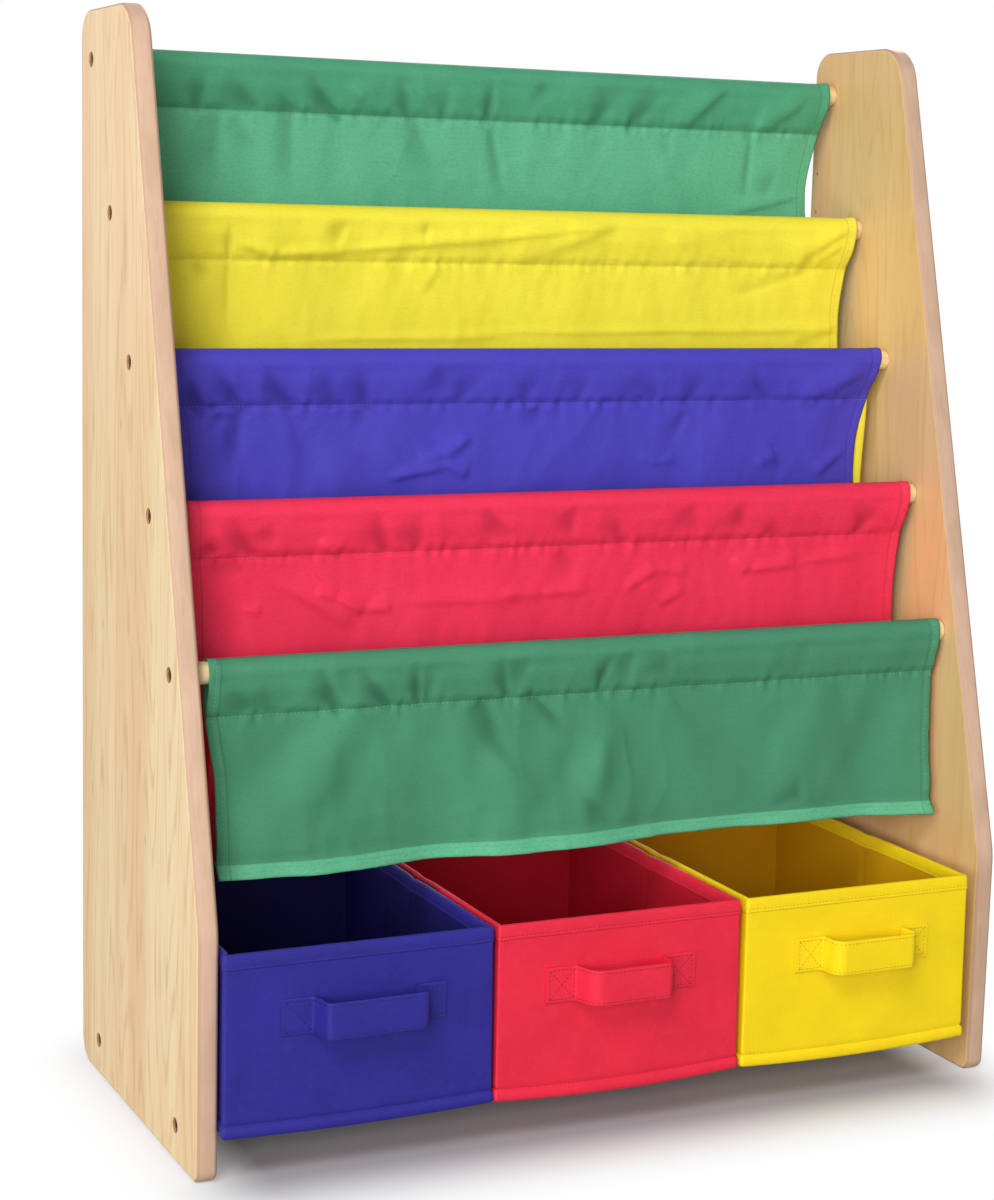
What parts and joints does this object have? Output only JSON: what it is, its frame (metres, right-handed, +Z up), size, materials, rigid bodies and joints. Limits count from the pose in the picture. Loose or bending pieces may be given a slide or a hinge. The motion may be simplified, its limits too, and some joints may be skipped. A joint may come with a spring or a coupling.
{
  "type": "sling bookshelf",
  "caption": "Children's bookshelf with sloped wooden side panels, cloth pockets hung on dowels, a front flap and pull-out cloth bins with handles on base rails.",
  "frame": {"origin": "on the floor, at the middle of the whole object's footprint", "axes": "+Z up; the open front with the bin handles faces -Y and the upright back edges face +Y; +X to the right seen from the front"},
  "size_m": [0.65, 0.32, 0.8],
  "materials": {
    "maple_board": "light maple-look laminate, satin, with rounded pinkish edges",
    "dowel_wood": "pale turned softwood, bare",
    "screw_steel": "dark bronzed steel",
    "grey_board": "stiff paperboard",
    "green_cloth": "fine woven polyester with a soft sheen",
    "yellow_cloth": "fine woven polyester with a soft sheen",
    "blue_cloth": "fine woven polyester with a soft sheen",
    "red_cloth": "fine woven polyester with a soft sheen",
    "blue_felt": "non-woven cloth with a fine embossed dimple",
    "red_felt": "non-woven cloth with a fine embossed dimple",
    "yellow_felt": "non-woven cloth with a fine embossed dimple"
  },
  "bodies": {
    "rack": {"side_panel_left": "maple_board", "side_panel_right": "maple_board", "sling_dowel_1": "dowel_wood", "sling_dowel_1_screw_left": "screw_steel", "sling_dowel_1_screw_right": "screw_steel", "sling_dowel_2": "dowel_wood", "sling_dowel_2_screw_left": "screw_steel", "sling_dowel_2_screw_right": "screw_steel", "sling_dowel_3": "dowel_wood", "sling_dowel_3_screw_left": "screw_steel", "sling_dowel_3_screw_right": "screw_steel", "sling_dowel_4": "dowel_wood", "sling_dowel_4_screw_left": "screw_steel", "sling_dowel_4_screw_right": "screw_steel", "sling_dowel_5": "dowel_wood", "sling_dowel_5_screw_left": "screw_steel", "sling_dowel_5_screw_right": "screw_steel", "base_rail_front": "dowel_wood", "base_rail_front_screw_left": "screw_steel", "base_rail_front_screw_right": "screw_steel", "base_rail_back": "dowel_wood", "base_rail_back_screw_left": "screw_steel", "base_rail_back_screw_right": "screw_steel", "green_sling": "green_cloth", "yellow_sling": "yellow_cloth", "blue_sling": "blue_cloth", "red_sling": "red_cloth", "green_front_flap": "green_cloth"},
    "blue_bin": {"blue_bin_cover": "blue_felt", "blue_bin_binding": "blue_felt", "blue_bin_handle": "blue_felt", "blue_bin_front_board": "grey_board", "blue_bin_back_board": "grey_board", "blue_bin_left_front_board": "grey_board", "blue_bin_left_back_board": "grey_board", "blue_bin_right_front_board": "grey_board", "blue_bin_right_back_board": "grey_board"},
    "red_bin": {"red_bin_cover": "red_felt", "red_bin_binding": "red_felt", "red_bin_handle": "red_felt", "red_bin_front_board": "grey_board", "red_bin_back_board": "grey_board", "red_bin_left_front_board": "grey_board", "red_bin_left_back_board": "grey_board", "red_bin_right_front_board": "grey_board", "red_bin_right_back_board": "grey_board"},
    "yellow_bin": {"yellow_bin_cover": "yellow_felt", "yellow_bin_binding": "yellow_felt", "yellow_bin_handle": "yellow_felt", "yellow_bin_front_board": "grey_board", "yellow_bin_back_board": "grey_board", "yellow_bin_left_front_board": "grey_board", "yellow_bin_left_back_board": "grey_board", "yellow_bin_right_front_board": "grey_board", "yellow_bin_right_back_board": "grey_board"},
    "blue_bin_base": {"blue_bin_base_board": "blue_felt"},
    "red_bin_base": {"red_bin_base_board": "red_felt"},
    "yellow_bin_base": {"yellow_bin_base_board": "yellow_felt"}
  },
  "joints": [
    {"name": "blue_bin_slide", "type": "slide", "parent": "rack", "child": "blue_bin", "axis": [0, -1, 0], "range_m": [0, 0.3]},
    {"name": "red_bin_slide", "type": "slide", "parent": "rack", "child": "red_bin", "axis": [0, -1, 0], "range_m": [0, 0.3]},
    {"name": "yellow_bin_slide", "type": "slide", "parent": "rack", "child": "yellow_bin", "axis": [0, -1, 0], "range_m": [0, 0.3]},
    {"name": "blue_base_lift", "type": "slide", "parent": "blue_bin", "child": "blue_bin_base", "axis": [0, 0, 1], "range_m": [0, 0.12]},
    {"name": "red_base_lift", "type": "slide", "parent": "red_bin", "child": "red_bin_base", "axis": [0, 0, 1], "range_m": [0, 0.12]},
    {"name": "yellow_base_lift", "type": "slide", "parent": "yellow_bin", "child": "yellow_bin_base", "axis": [0, 0, 1], "range_m": [0, 0.12]}
  ]
}
